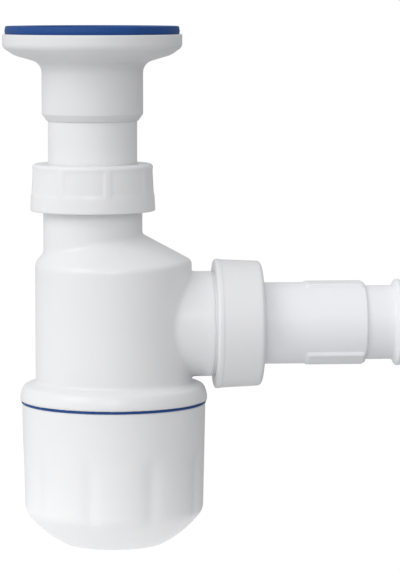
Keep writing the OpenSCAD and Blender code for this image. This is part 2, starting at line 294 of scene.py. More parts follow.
def skin(name, distance, low, high, step):
    # surface net: one point in each grid cell that the surface crosses, then moved onto distance = 0
    low, high = np.array(low, float), np.array(high, float)
    size = np.ceil((high - low) / step).astype(int) + 1
    lines = [low[k] + step * np.arange(size[k]) for k in range(3)]
    values = distance(*np.meshgrid(*lines, indexing="ij"))
    cells = size - 1
    total = int(np.prod(cells))
    sums, hits, quads = np.zeros((total, 3)), np.zeros(total), []
    for k in range(3):
        first = values[tuple(slice(0, -1) if m == k else slice(None) for m in range(3))]
        second = values[tuple(slice(1, None) if m == k else slice(None) for m in range(3))]
        corner = np.argwhere((first < 0) != (second < 0))
        a, b = first[tuple(corner.T)], second[tuple(corner.T)]
        point = corner.astype(float)
        point[:, k] += a / (a - b)
        u, v = (k + 1) % 3, (k + 2) % 3
        around = []
        for du, dv in ((0, 0), (-1, 0), (-1, -1), (0, -1)):
            cell = corner.copy()
            cell[:, u] += du
            cell[:, v] += dv
            index = (cell[:, 0] * cells[1] + cell[:, 1]) * cells[2] + cell[:, 2]
            around.append(index)
            hits += np.bincount(index, minlength=total)
            for m in range(3):
                sums[:, m] += np.bincount(index, weights=point[:, m], minlength=total)
        quad = np.stack(around, -1)
        inward = a > 0
        quad[inward] = quad[inward][:, ::-1]
        quads.append(quad)
    used = np.flatnonzero(hits)
    number = np.full(total, -1)
    number[used] = np.arange(len(used))
    points = low + step * sums[used] / hits[used][:, None]
    faces = number[np.concatenate(quads)]
    small, farthest = net["probe"] * step, net["farthest"] * step
    for _ in range(net["rounds"]):
        value = distance(*points.T)
        slope = np.stack([
            distance(*(points + np.eye(3)[m] * small).T) - distance(*(points - np.eye(3)[m] * small).T)
            for m in range(3)], -1) / (2 * small)
        move = slope * (value / np.maximum(np.sum(slope * slope, -1), net["leastSlope"]))[:, None]
        points = points - np.clip(move, -farthest, farthest)
    return flipIfInside(addMesh(name, points, faces))


def inletSkin(name, distance, reach, foot, top, cell):
    x = inletAxis[0]
    return skin(name, distance, (x - reach, -reach, foot), (x + reach, reach, top), cell)


# Materials


def linearColour(code):
    # sRGB hex to linear: c/12.92 below 0.04045, else ((c + 0.055)/1.055)^2.4
    parts = [int(code[k:k + 2], 16) / 255 for k in (1, 3, 5)]
    return [c / 12.92 if c <= 0.04045 else ((c + 0.055) / 1.055) ** 2.4 for c in parts] + [1.0]


def addNode(tree, kind, settings=None, inputs=None, links=None):
    # one node: settings are its own properties, inputs its socket values, links {socket: another's output}
    node = tree.nodes.new(kind)
    for key, value in (settings or {}).items():
        setattr(node, key, value)
    for key, value in (inputs or {}).items():
        node.inputs[key].default_value = value
    for key, output in (links or {}).items():
        tree.links.new(output, node.inputs[key])
    return node


def startMaterial(name, **values):
    material = bpy.data.materials.new(name)
    material.use_nodes = True
    tree = material.node_tree
    shader = tree.nodes["Principled BSDF"]
    for key, value in values.items():
        shader.inputs[key.replace("_", " ")].default_value = value
    place = addNode(tree, "ShaderNodeTexCoord").outputs["Object"]
    return material, tree, shader, place


def linkSurface(tree, shader, blotch, colours, gloss, roughness, grain=None, strength=0, depth=0):
    # colour runs between two sRGB colours as blotch does, roughness between two values as gloss does,
    # and the surface rises and falls by depth as grain does
    ramp = addNode(tree, "ShaderNodeValToRGB", links={"Fac": blotch.outputs["Fac"]})
    for element, code in zip(ramp.color_ramp.elements, colours):
        element.color = linearColour(code)
    spread = addNode(tree, "ShaderNodeMapRange", inputs={"To Min": roughness[0], "To Max": roughness[1]},
                     links={"Value": gloss.outputs["Fac"]})
    tree.links.new(ramp.outputs["Color"], shader.inputs["Base Color"])
    tree.links.new(spread.outputs["Result"], shader.inputs["Roughness"])
    if grain:
        bump = addNode(tree, "ShaderNodeBump", inputs={"Strength": strength, "Distance": depth},
                       links={"Height": grain.outputs["Fac"]})
        tree.links.new(bump.outputs["Normal"], shader.inputs["Normal"])


# A noise texture's Scale is one over the width of its blotches in metres.
# A wave texture repeats every 2 pi / (20 * Scale) metres.


# Moulded polypropylene: milky white and waxy, light goes a little way in, with a faint orange peel
# about 2 mm wide from the mould and slow changes of gloss where it cooled.
def mouldedPolypropylene(name, colours, roughness, peel):
    material, tree, shader, place = startMaterial(
        name, IOR=1.49, Subsurface_Weight=0.12, Subsurface_Scale=0.002, Subsurface_Radius=(1.0, 0.9, 0.8))
    blotch, gloss, grain = (
        addNode(tree, "ShaderNodeTexNoise", inputs={"Scale": 1 / size, "Detail": detail, "Roughness": rough},
                links={"Vector": place})
        for size, detail, rough in ((0.028, 3.0, 0.5), (0.012, 4.0, 0.5), (0.0022, 3.0, 0.6)))
    linkSurface(tree, shader, blotch, colours, gloss, roughness, grain, 0.25, peel)
    return material


# Moulded nitrile rubber, blue all through: dull and even, a very fine grain, a little dusty.
def blueRubber():
    material, tree, shader, place = startMaterial("mouldedBlueRubber", IOR=1.52, Specular_IOR_Level=0.3)
    blotch, gloss, grain = (
        addNode(tree, "ShaderNodeTexNoise", None, {"Scale": 1 / size, "Detail": detail}, {"Vector": place})
        for size, detail in ((0.009, 4.0), (0.003, 3.0), (0.0007, 2.0)))
    linkSurface(tree, shader, blotch, ("#0E3F82", "#164A90"), gloss, (0.50, 0.66), grain, 0.35, 0.06 * mm)
    return material


# Pressed stainless steel sheet, polished round and round: bright, with soft rings 5 mm apart, coarser
# than the real polishing marks so that they show.
def polishedStainless():
    material, tree, shader, place = startMaterial("polishedStainless", Metallic=1.0)
    centred = addNode(tree, "ShaderNodeMapping", inputs={"Location": (-inletAxis[0], 0, 0)},
                      links={"Vector": place})
    rings = addNode(tree, "ShaderNodeTexWave", {"wave_type": "RINGS", "rings_direction": "Z"},
                    {"Scale": 62.5, "Distortion": 1.2, "Detail": 2.0, "Detail Scale": 2.0},
                    {"Vector": centred.outputs["Vector"]})
    blotch = addNode(tree, "ShaderNodeTexNoise", inputs={"Scale": 1 / 0.010, "Detail": 3.0},
                     links={"Vector": place})
    linkSurface(tree, shader, blotch, ("#C3C5C8", "#D6D8DA"), rings, (0.16, 0.30), rings, 0.12, 0.03 * mm)
    return material


# Turned brass: warm yellow, with soft bands 1.9 mm apart up the thread insert where the tool went round.
def turnedBrass():
    material, tree, shader, place = startMaterial("turnedBrass", Metallic=1.0)
    marks = addNode(tree, "ShaderNodeTexWave", {"wave_type": "BANDS", "bands_direction": "Z"},
                    {"Scale": 166.67, "Distortion": 0.5}, {"Vector": place})
    blotch = addNode(tree, "ShaderNodeTexNoise", inputs={"Scale": 1 / 0.004, "Detail": 3.0},
                     links={"Vector": place})
    linkSurface(tree, shader, blotch, ("#B98F43", "#D3AE63"), marks, (0.25, 0.42))
    return material


bodyWhite = mouldedPolypropylene("mouldedPolypropylene", ("#E9EAEC", "#F0F0F1"), (0.26, 0.36), 0.03 * mm)
# Waste flare, stem and cross: the body's polypropylene painted darker, as painted shade for the weaker light
# that reaches them round the flare
shadedWasteWhite = mouldedPolypropylene("wastePolypropylenePaintedShade", ("#E1E2E4", "#E9E9EB"), (0.28, 0.38), 0.03 * mm)
# Hose and cuff: the same polypropylene painted whiter than the body's, as painted light standing in for the
# bright front light they catch
litHoseWhite = mouldedPolypropylene("corrugatedPolypropylenePaintedLight", ("#F4F5FA", "#F9FAFD"), (0.26, 0.36), 0.02 * mm)
ringBlue = blueRubber()
steel = polishedStainless()
brass = turnedBrass()
print("materials made")

# Flexible hose

# Route of the hose's middle line, in metres (x, z): out of the cuff and down in a long S.
hoseRoute = [
    (0.096, 0.1075), (0.117, 0.1075), (0.136, 0.1075), (0.141, 0.1075), (0.165, 0.1075),
    (0.185, 0.1065), (0.205, 0.1025), (0.224, 0.0965), (0.2425, 0.088), (0.260, 0.0775), (0.276, 0.065),
    (0.292, 0.052), (0.3095, 0.0415), (0.328, 0.033), (0.347, 0.027), (0.367, 0.0235), (0.387, 0.022),
    (0.403, 0.022), (0.418, 0.0225), (0.431, 0.0235), (0.438, 0.0245), (0.457, 0.025)
]
hose = {
    "plainRadius": 18.2 * mm,      # outside of both plain ends
    "valleyRadius": 18.6 * mm,
    "ridgeRadius": 21.3 * mm,
    "wall": 0.9 * mm,
    "ridgeStart": 0.1362,          # x where the first ridge begins to rise
    "ridgeEnd": 0.4345,            # x where the last ridge has come down
    "pitch": 6.9 * mm,
    "rise": (0.06, 0.40),          # parts of a pitch over which a ridge rises and falls
    "fall": (0.60, 0.94),
    "swell": (0.4, 0.9),           # pitches over which the plain end widens to the valleys
    "perSpan": 160,                # points worked out between two of the route's
    "perRidge": 10,                # rings of points in each ridge and in the plain ends
    "perEnd": (12, 10),
    "around": 72,
}


def smoothRoute(route, perSpan):
    # cubic through the route's points, each with the slope between its neighbours: a h(1 - t) + b h(t)
    # + u (t^3 - 2t^2 + t) + v (t^3 - t^2), with h = 3t^2 - 2t^3
    p = np.array(route, float)
    slope = np.gradient(p, axis=0)
    t = np.linspace(0, 1, perSpan, endpoint=False)[:, None, None]
    a, b, u, v = p[None, :-1], p[None, 1:], slope[None, :-1], slope[None, 1:]
    points = a * (2 * t**3 - 3 * t**2 + 1) + b * (3 * t**2 - 2 * t**3)
    points = points + u * (t**3 - 2 * t**2 + t) + v * (t**3 - t**2)
    return np.concatenate([points.transpose(1, 0, 2).reshape(-1, 2), p[-1:]])


def makeHose():
    # a ring of radius R(s) is carried along the route; R(s) rises and falls once every pitch
    fine = smoothRoute(hoseRoute, hose["perSpan"])
    steps = np.linalg.norm(np.diff(fine, axis=0), axis=1)
    along = np.concatenate([[0], np.cumsum(steps)])
    total = along[-1]
    first = np.interp(hose["ridgeStart"], fine[:, 0], along)
    last = np.interp(hose["ridgeEnd"], fine[:, 0], along)
    ridges = round((last - first) / hose["pitch"])
    pitch = (last - first) / ridges
    s = np.concatenate([
        np.linspace(0, first, hose["perEnd"][0], endpoint=False),
        np.linspace(first, last, ridges * hose["perRidge"], endpoint=False),
        np.linspace(last, total, hose["perEnd"][1])])
    wave = (s - first) / pitch
    part = wave - np.floor(wave)
    # each ridge: a steep rise, a rounded flat top, a steep fall and a rounded valley
    lift = smoothStep(*hose["rise"], part) * (1 - smoothStep(*hose["fall"], part))
    inside = (wave >= 0) & (wave <= ridges)
    swell = smoothStep(*hose["swell"], wave) * smoothStep(*hose["swell"], ridges - wave)
    low = hose["plainRadius"] + (hose["valleyRadius"] - hose["plainRadius"]) * swell
    radius = np.where(inside, low + (hose["ridgeRadius"] - low) * lift, hose["plainRadius"])
    x, z = np.interp(s, along, fine[:, 0]), np.interp(s, along, fine[:, 1])
    heading = np.gradient(fine, axis=0)
    heading = heading / np.linalg.norm(heading, axis=1)[:, None]
    dx, dz = np.interp(s, along, heading[:, 0]), np.interp(s, along, heading[:, 1])
    angle = np.linspace(0, 2 * np.pi, hose["around"], endpoint=False)[None, :]

    def ring(r):
        up, across = r[:, None] * np.sin(angle), r[:, None] * np.cos(angle)
        return np.stack([x[:, None] - dz[:, None] * up, across, z[:, None] + dx[:, None] * up], -1)

    outer, inner = ring(radius), ring(radius - hose["wall"])
    points = np.concatenate([outer, inner[::-1]]).reshape(-1, 3)
    faces = gridFaces(2 * len(s), hose["around"], True, True)
    piece = flipIfInside(addMesh("flexibleHose", points, faces))
    finishPiece(piece, "hose", litHoseWhite, "hose_pp", "flex_hose")
    path = [(float(a), 0.0, float(b)) for a, b in zip(x[::6], z[::6])]
    path.append((float(x[-1]), 0.0, float(z[-1])))
    return piece, path, float(total)


hosePiece, hosePath, hoseLength = makeHose()
print("hose made, %.3f m long" % hoseLength)

# End cuff

endCuff = inMetres({
    "bigRadius": 25,
    "tipRadius": 20,
    "wall": 2.1,
    "bore": 18.25,
    "step": 478,              # x where the 50 mm part steps down to the 40 mm part
    "stop": 458,              # x of the shoulder that the hose runs up to
    "gripRings": (10, 15, 20),     # shallow rings round the 50 mm part, from its start
    "gripWidth": 0.8,
    "gripDepth": 0.35,
})


def makeEndCuff():
    low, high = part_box("end_cuff")
    big, tip, bore = endCuff["bigRadius"], endCuff["tipRadius"], endCuff["bore"]
    thin, step, stop = tip - endCuff["wall"], endCuff["step"], endCuff["stop"]
    profile = filleted([
        (bore, low.x, 0.5 * mm),
        (big - 0.3 * mm, low.x, 0.7 * mm),
        (big, low.x + 4 * mm, 0.5 * mm),
        (big, step - 2 * mm, 1.2 * mm),
        (tip + 3.4 * mm, step, 0.6 * mm),
        (tip + 0.2 * mm, step + 0.6 * mm, 0.8 * mm),
        (tip, step + 5 * mm, 0.5 * mm),
        (tip, high.x - 2.4 * mm, 0.8 * mm),
        (tip - 0.9 * mm, high.x, 0.4 * mm),
        (thin, high.x, 0.4 * mm),
        (thin, stop, 0.3 * mm),
        (bore, stop, 0.3 * mm),
    ])

    def rings(r, angle, x):
        # the outside sinks by depth * exp(-(distance from a ring / width)^2)
        groove = sum(np.exp(-((x - low.x - d) / endCuff["gripWidth"]) ** 2) for d in endCuff["gripRings"])
        return np.where(r > big - 0.1 * mm, r - endCuff["gripDepth"] * groove, r)

    piece = lathe("endCuff", subdivided(profile, 1.2 * mm), 128, alongX((low.z + high.z) / 2), rings)
    return finishPiece(piece, "hose", bodyWhite, "moulded_pp", "end_cuff")


endCuffPiece = makeEndCuff()

# Bottle: its shell is one solid worked out from distances, so that shoulder, neck and boss run together
bottle = {
    "bodyRadius": 38.25 * mm,
    "wall": 2.5 * mm,
    "shoulderHeight": 147.8 * mm,      # where the sloping shoulder meets the neck, on the inlet's axis
    "shoulderSlope": 39,               # degrees down from level
    "shoulderTilt": 10.5,              # degrees that the shoulder's cone leans towards the outlet
    "neckRadius": 24.15 * mm,
    "neckBore": 22.0 * mm,
    "neckFoot": 130 * mm,              # the neck and its bore start inside the body
    "neckBoreFoot": 120 * mm,
    "threadFoot": 164.5 * mm,          # height where the neck's thread starts
    "flangeRadius": 45.85 * mm,
    "flangeTop": 79.5 * mm,
    "flangeEdge": 4 * mm,              # rounding of the flange's upper edge
    "skirtRadius": 40.8 * mm,          # root of the thread that the cup screws onto
    "skirtBore": 38.4 * mm,
    "skirtBoreTop": 66.5 * mm,
    "bossRadius": 25.75 * mm,
    "bossFoot": 24 * mm,
    "bossEnd": 48.8 * mm,
    "outletBore": 20.3 * mm,           # bore that the cuff goes into, from x to x
    "outletBoreEnds": (42 * mm, 90 * mm),
    "chamberBore": 18.3 * mm,
    "chamberEnds": (22 * mm, 43 * mm),
    "cell": 1.12 * mm,
}
flangeFoot = ringHigh.z


def shoulderForm(x, y, z, inset, k):
    # body's cylinder cut by a cone that leans about the neck: (r - mouth) sin(slope) + z cos(slope) = 0
    slope, tilt = math.radians(bottle["shoulderSlope"]), math.radians(bottle["shoulderTilt"])
    mouth = bottle["neckRadius"] - inset / math.sin(slope)
    dx, dz = x - inletAxis[0], z - bottle["shoulderHeight"]
    u = dx * math.cos(tilt) + dz * math.sin(tilt)
    w = dz * math.cos(tilt) - dx * math.sin(tilt)
    cone = (np.hypot(u, y) - mouth) * math.sin(slope) + w * math.cos(slope)
    return softMax(np.hypot(x, y) - (bottle["bodyRadius"] - inset), cone, k)


def bottleDistance(x, y, z):
    aboutBody, aboutInlet = np.hypot(x, y), np.hypot(x - inletAxis[0], y)
    aboutOutlet = np.hypot(y, z - outletZ)
    form = softMax(shoulderForm(x, y, z, 0, 1.6 * mm), flangeFoot - z, 1 * mm)
    neck = rod(aboutInlet, z, bottle["neckRadius"], bottle["neckFoot"], bottle["threadFoot"], 1.2 * mm)
    flange = rod(aboutBody, z, bottle["flangeRadius"], flangeFoot, bottle["flangeTop"], 0.8 * mm)
    beyondEdge = aboutBody - bottle["flangeRadius"] + z - bottle["flangeTop"] + bottle["flangeEdge"] * 0.75
    flange = softMax(flange, beyondEdge * cos45, bottle["flangeEdge"])
    skirt = rod(aboutBody, z, bottle["skirtRadius"], bodyLow.z, flangeFoot + 2 * mm, 1 * mm)
    boss = rod(aboutOutlet, x, bottle["bossRadius"], bottle["bossFoot"], bottle["bossEnd"], 1.4 * mm)
    outside = softMin(softMin(form, neck, 1.2 * mm), softMin(flange, skirt, 0.5 * mm), 1.6 * mm)
    outside = softMin(outside, boss, 1.4 * mm)
    hollow = softMax(shoulderForm(x, y, z, bottle["wall"], 2 * mm), bodyLow.z - 10 * mm - z, 1 * mm)
    neckBore = aboutInlet - bottle["neckBore"] + np.maximum(bottle["neckBoreFoot"] - z, 0)
    hollow = softMin(hollow, neckBore, 1 * mm)
    skirtBore = rod(aboutBody, z, bottle["skirtBore"], 0, bottle["skirtBoreTop"], 0.5 * mm)
    hollow = softMin(hollow, skirtBore, 1 * mm)
    chamber = rod(aboutOutlet, x, bottle["chamberBore"], *bottle["chamberEnds"], 0.5 * mm)
    hollow = softMin(hollow, chamber, 1 * mm)
    outlet = rod(aboutOutlet, x, bottle["outletBore"], *bottle["outletBoreEnds"], 0.5 * mm)
    hollow = softMin(hollow, outlet, 0.5 * mm)
    return softMax(outside, -hollow, 1 * mm)


def makeBottle():
    reach = bottle["flangeRadius"] + 2 * mm
    shell = skin("bottleShell", bottleDistance, (-reach, -reach, bodyLow.z - 2 * mm),
                 (bottle["bossEnd"] + 2 * mm, reach, bottle["threadFoot"] + 2 * mm), bottle["cell"])
    finishPiece(shell, "bottle", bodyWhite, "moulded_pp", "bottle_body")


makeBottle()
print("bottle shell made")

# Threaded mouths of the bottle, turned round their own axes: the neck for the inlet and the outlet's mouth
mouths = inMetres({
    "neckRoot": 23.5,
    "neckCrest": 24.35,
    "neckLip": 22.85,         # bore at the mouth, where the cone seal sits
    "outletRoot": 24.4,
    "outletCrest": 25.25,
    "outletLip": 21.2,
    "collarRadius": 25.35,    # plain collar between the boss and the outlet's thread
    "collarEnd": 52,
    "cupCrest": 41.7,
    "neckThread": 11.6,       # how far below the mouth its thread starts
    "outletThread": 11.7,
    "skirtThread": 2.2,       # how far above the skirt's foot the cup's thread starts
    "seatDepth": 6,
    "ridgeFoot": 1.9,         # width of a thread's ridge at its root and at its crest
    "ridgeTop": 0.8,
})
threadTurns = (2.4, 2.6)       # turns of the neck's thread, and of the other two
neckTop = bodyHigh.z
outletEnd = bodyHigh.x


def makeMouth(name, bore, foot, outside, lip, end, lipFillet, place):
    # outside is the list of corners from where the mouth starts, inside the shell, to its end
    profile = filleted([
        (bore + 0.5 * mm, foot - 3 * mm, 0),
        *outside,
        (lip, end, lipFillet),
        (bore, end - mouths["seatDepth"], 1 * mm),
        (bore, foot - 0.4 * mm, 0),
        (bore + 0.5 * mm, foot - 0.4 * mm, 0),
    ])
    piece = lathe(name, subdivided(profile, 2 * mm), 128, place)
    finishPiece(piece, "bottle", bodyWhite, "moulded_pp")


def makeMouths():
    foot, root = bottle["threadFoot"], mouths["neckRoot"]
    outside = [(root, foot - 3 * mm, 0), (root, neckTop, 0.4 * mm)]
    makeMouth("neckMouth", bottle["neckBore"], foot, outside, mouths["neckLip"], neckTop, 0.2 * mm,
              inletPlace)
    foot, root, collar = bottle["bossEnd"], mouths["outletRoot"], mouths["collarRadius"]
    outside = [(collar, foot - 3 * mm, 0), (collar, mouths["collarEnd"], 0.4 * mm),
               (root, mouths["collarEnd"], 0.2 * mm), (root, outletEnd, 0.5 * mm)]
    makeMouth("outletMouth", bottle["outletBore"], foot, outside, mouths["outletLip"], outletEnd, 0.3 * mm,
              outletPlace)


makeMouths()


# Male and female threads share one phase and start half a lead apart, so they stay in mesh as they turn.
def makeThreads():
    foot, top, half = mouths["ridgeFoot"], mouths["ridgeTop"], nutPitch / 2
    inlet, outlet, body = inletPlace, outletPlace, bodyPlace
    neck, mouth = neckTop - mouths["neckThread"], outletEnd - mouths["outletThread"]
    skirt = bodyLow.z + mouths["skirtThread"]
    few, more = threadTurns
    rows = [
        ("neckThread", "bottle", inlet, mouths["neckRoot"], mouths["neckCrest"], neck, few, 1),
        ("outletThread", "bottle", outlet, mouths["outletRoot"], mouths["outletCrest"], mouth, more, -1),
        ("cupThreadOuter", "bottle", body, bottle["skirtRadius"], mouths["cupCrest"], skirt, more, 1),
        ("inletNutThread", "inlet_nut", inlet, inletNut["bore"], inletNut["crest"], neck + half, few, 1),
        ("outletNutThread", "outlet_nut", outlet, outletNut["bore"], outletNut["crest"], mouth + half, more,
         -1),
        ("cupThreadInner", "cup", body, cup["bore"], cup["crest"], skirt - half, more, 1),
    ]
    for name, rider, place, root, crest, start, turns, hand in rows:
        end = start + turns * nutPitch
        coil = helixRidge(name, place, root, crest, start, end, nutPitch, 0.6, foot, top, hand)
        finishPiece(coil, rider, bodyWhite, "moulded_pp")


# Cup: straight side, domed base with a flat foot, nine wide shallow lobes to grip it by, a plain rim
cup = {
    "sideRadius": 43.9 * mm,
    "rimRadius": 44.85 * mm,
    "innerRadius": 41.2 * mm,
    "bore": 42.0 * mm,
    "boreFoot": 54.3 * mm,
    "crest": 41.05 * mm,
    "floor": 2.6 * mm,
    "dome": 54 * mm,
    "foot": 24.5 * mm,
    "footRing": (15 * mm, 16.5 * mm),       # the flat foot is a ring round a shallow recess
    "footRecess": 0.8 * mm,
    "round": 9 * mm,                # rounding between the side and the dome
    "lobes": 9,
    "firstGroove": -18,             # degrees from the front towards the outlet
    "grooveDepth": 1.05 * mm,
    "grooveWidth": 5.0,             # degrees from a groove's middle to where it has mostly run out
    "grooveFoot": (8 * mm, 19 * mm),        # heights over which the grooves run in and out
    "grooveTop": (39 * mm, 51 * mm),
}
domeCentre = math.sqrt(cup["dome"] ** 2 - cup["foot"] ** 2)


def cupLobes(r, angle, z):
    # u runs from 0 in the middle of a lobe to 1 in a groove; the side sinks by
    # depth * (u^2 / 2 + exp(-(distance from the groove / width)^2) / 2)
    turn = 360 / cup["lobes"]
    fromGroove = (np.degrees(angle) + 90 - cup["firstGroove"]) % turn
    toGroove = np.minimum(fromGroove, turn - fromGroove) / (turn / 2)
    u = 1.1 - np.sqrt(toGroove * toGroove + 0.01)
    sink = 0.5 * u * u + 0.5 * np.exp(-(toGroove * turn / 2 / cup["grooveWidth"]) ** 2)
    fade = smoothStep(*cup["grooveFoot"], z) * (1 - smoothStep(*cup["grooveTop"], z))
    outside = np.maximum(smoothStep(0.8 * mm, 1.6 * mm, r - cup["innerRadius"]),
                         smoothStep(-1.7 * mm, -0.9 * mm, np.hypot(r, z - domeCentre) - cup["dome"]))
    return r - cup["grooveDepth"] * sink * fade * outside


def makeCup():
    rim, foot, wall = cupHigh.z, cupLow.z, cup["floor"]
    side = cup["sideRadius"] - cup["round"]
    sideFoot = domeCentre - math.sqrt((cup["dome"] - cup["round"]) ** 2 - side ** 2)
    turn = math.degrees(math.atan2(sideFoot - domeCentre, side))
    footTurn = -math.degrees(math.acos(cup["foot"] / cup["dome"]))
    innerTurn = -math.degrees(math.asin((domeCentre - wall) / (cup["dome"] - wall)))
    profile = filleted([
        (0.01 * mm, foot + cup["footRecess"], 0),
        (cup["footRing"][0], foot + cup["footRecess"], 0.6 * mm),
        (cup["footRing"][1], foot, 0.6 * mm),
        (cup["foot"] - 0.3 * mm, foot, 0.3 * mm),
    ] + arc(0, domeCentre, cup["dome"], footTurn + 0.6, turn, 26)
      + arc(side, sideFoot, cup["round"], turn, 0, 10)[1:] + [
        (cup["rimRadius"], rim - 3 * mm, 1 * mm),
        (cup["rimRadius"], rim, 0.6 * mm),
        (cup["bore"] + 0.5 * mm, rim, 0.3 * mm),
        (cup["bore"], rim - 0.6 * mm, 0.3 * mm),
        (cup["bore"], cup["boreFoot"], 0.5 * mm),
        (cup["innerRadius"] + 0.3 * mm, cup["boreFoot"] - 1.2 * mm, 0.5 * mm),
    ] + arc(side, sideFoot, cup["round"] - wall, 0, turn, 8)
      + arc(0, domeCentre, cup["dome"] - wall, turn, innerTurn, 20)[1:] + [
        (0.01 * mm, foot + wall, 0),
    ], 12)
    piece = lathe("cup", subdivided(profile, 1.6 * mm), 288, bodyPlace, cupLobes)
    finishPiece(piece, "cup", bodyWhite, "moulded_pp", "cup")


makeCup()
print("cup made")

# Union nuts: a skirt over the thread, a web with a hole for the tube, a rounded upper edge
inletNut = {
    "footRadius": 30.5 * mm,
    "topRadius": 29.3 * mm,
    "bore": 24.5 * mm,
    "crest": 23.65 * mm,
    "hole": 22.0 * mm,
    "web": 3.2 * mm,
    "edge": 1.7 * mm,
    "ribs": 8,
    "firstRib": 12,                # degrees from the front towards the outlet
    "ribWidth": 4.2,               # degrees
    "panelDepth": 0.3 * mm,
    "panelFoot": 7 * mm,           # the panels start this far above the nut's foot
}
outletNut = {
    "footRadius": 31.8 * mm,
    "topRadius": 30.6 * mm,
    "bore": 25.6 * mm,
    "crest": 24.55 * mm,
    "hole": 20.3 * mm,
    "web": 3.2 * mm,
    "edge": 2.2 * mm,
    "rim": 2.6 * mm,               # width of the slightly proud band at its foot
    "rimHeight": 0.15 * mm,
}


def nutProfile(nut, low, high, skirt):
    # skirt is the list of corners up the outside, from the foot to just under the upper edge
    return subdivided(filleted([(nut["bore"] + 0.4 * mm, low, 0.2 * mm)] + skirt + [
        (nut["topRadius"], high, nut["edge"]),
        (nut["hole"] + 0.1 * mm, high, 0.6 * mm),
        (nut["hole"], high - nut["web"], 0.3 * mm),
        (nut["bore"], high - nut["web"], 0.4 * mm),
        (nut["bore"], low + 0.5 * mm, 0.2 * mm),
    ], 6), 0.8 * mm)


def inletNutPanels(r, angle, z):
    # the outside sinks between the ribs, most half way between two of them
    turn = 360 / inletNut["ribs"]
    fromRib = np.abs((np.degrees(angle) + 90 - inletNut["firstRib"] + turn / 2) % turn - turn / 2)
    low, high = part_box("inlet_nut")
    foot, top = low.z + inletNut["panelFoot"], high.z
    fade = smoothStep(foot, foot + 2.5 * mm, z) * (1 - smoothStep(top - 3.2 * mm, top - 1.6 * mm, z))
    sunk = smoothStep(inletNut["ribWidth"] / 2, inletNut["ribWidth"] / 2 + 2.5, fromRib)
    return np.where(r > inletNut["bore"] + 2.5 * mm, r - inletNut["panelDepth"] * sunk * fade, r)


def makeNuts():
    low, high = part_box("inlet_nut")
    nut = lathe("inletNut", nutProfile(inletNut, low.z, high.z, [(inletNut["footRadius"], low.z, 0.7 * mm)]),
                288, inletPlace, inletNutPanels)
    finishPiece(nut, "inlet_nut", bodyWhite, "moulded_pp", "inlet_nut")
    low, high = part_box("outlet_nut")
    rim = outletNut["rim"]
    nut = lathe("outletNut", nutProfile(outletNut, low.x, high.x, [
        (outletNut["footRadius"], low.x, 1.1 * mm),
        (outletNut["footRadius"] - 0.1 * mm, low.x + rim, 0.4 * mm),
        (outletNut["footRadius"] - outletNut["rimHeight"] - 0.15 * mm, low.x + rim + 0.5 * mm, 0.5 * mm),
    ]), 192, outletPlace)
    finishPiece(nut, "outlet_nut", bodyWhite, "moulded_pp", "outlet_nut")


makeNuts()
makeThreads()
print("nuts and threads made")

# Seals and slip rings of both unions, and the ring under the cup's flange
seals = inMetres({
    "inletRadius": 21.78,
    "outletRadius": 20.08,
    "threadGap": 0.12,        # between the inlet seal's head and the nut's thread, which passes it
    "ringGap": 0.06,          # slip rings are this much wider inside than the seals
    "cupRingRadius": 42.0,
})


def coneSeal(name, inner, bore, lip, wide, low, seat, high, place):
    # ring whose lower part widens to fill the mouth's seat, and whose head lies on the mouth's end
    return lathe(name, subdivided(filleted([
        (inner, low, 0.1 * mm),
        (bore + 0.06 * mm, low, 0.1 * mm),
        (lip - 0.08 * mm, seat + 0.05 * mm, 0.2 * mm),
        (wide, seat + 0.05 * mm, 0.5 * mm),
        (wide, high, 0.7 * mm),
        (inner, high, 0.3 * mm),
    ], 4), 1.2 * mm), 128, place)


def makeSeals():
    low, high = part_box("inlet_seal")
    ring = coneSeal("inletSeal", seals["inletRadius"], bottle["neckBore"], mouths["neckLip"],
                    inletNut["crest"] - seals["threadGap"], low.z, neckTop, high.z, inletPlace)
    finishPiece(ring, "inlet_seal", ringBlue, "blue_rubber", "inlet_seal")
    low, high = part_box("outlet_seal")
    ring = coneSeal("outletSeal", seals["outletRadius"], bottle["outletBore"], mouths["outletLip"],
                    (high.y - low.y) / 2, low.x, outletEnd, high.x, outletPlace)
    finishPiece(ring, "bottle", ringBlue, "blue_rubber", "outlet_seal")
    inner = seals["inletRadius"] + seals["ringGap"]
    ring = flatRing("inletSlipRing", "inlet_slip_ring", inner, (0.3, 0.4, 0.4, 0.3), 128)
    finishPiece(ring, "inlet_slip_ring", bodyWhite, "moulded_pp", "inlet_slip_ring")
    inner = seals["outletRadius"] + seals["ringGap"]
    ring = flatRing("outletSlipRing", "outlet_slip_ring", inner, (0.3, 0.4, 0.4, 0.3), 128, outletPlace)
    finishPiece(ring, "outlet_slip_ring", bodyWhite, "moulded_pp", "outlet_slip_ring")
    ring = flatRing("cupGasket", "cup_gasket", seals["cupRingRadius"], (0.2, 0.55, 0.55, 0.2), 192, bodyPlace)
    finishPiece(ring, "cup_ring", ringBlue, "blue_rubber", "cup_gasket")


makeSeals()
print("seals made")

# Inlet tube and flared waste
waste = inMetres({
    "tubeRadius": 21.7,
    "tubeWall": 1.8,
    "stemRadius": 24.65,
    "stemFoot": 207.1,
    "socketTop": 224.1,
    "throatRadius": 20.6,
    "throatTop": 233.5,
    "stemTop": 235,            # the stem opens into the flare here
    "flareFoot": (38.2, 239.0, 12),          # corners of the flare: radius, height, fillet
    "flareEdge": (43.7, 242.8, 3.6),
    "rimRadius": 43.7,
    "channel": (34.6, 40.9),      # radii of the channel that holds the sink gasket
    "channelFloor": 244,
    "bowl": (32.5, 32.2),         # bowl's radius at the rim and at the ledge
    "ledgeRadius": 28.5,
    "ledge": 241.2,            # height of the ledge that the strainer sits on
    "hubRadius": 6.5,
    "hubBore": 4.5,
    "hubFoot": 226,
    "hubTop": 238.5,
    "armWidth": 2.4,
    "armFoot": 228,
    "armTop": 235,
    "cell": 0.6,
})


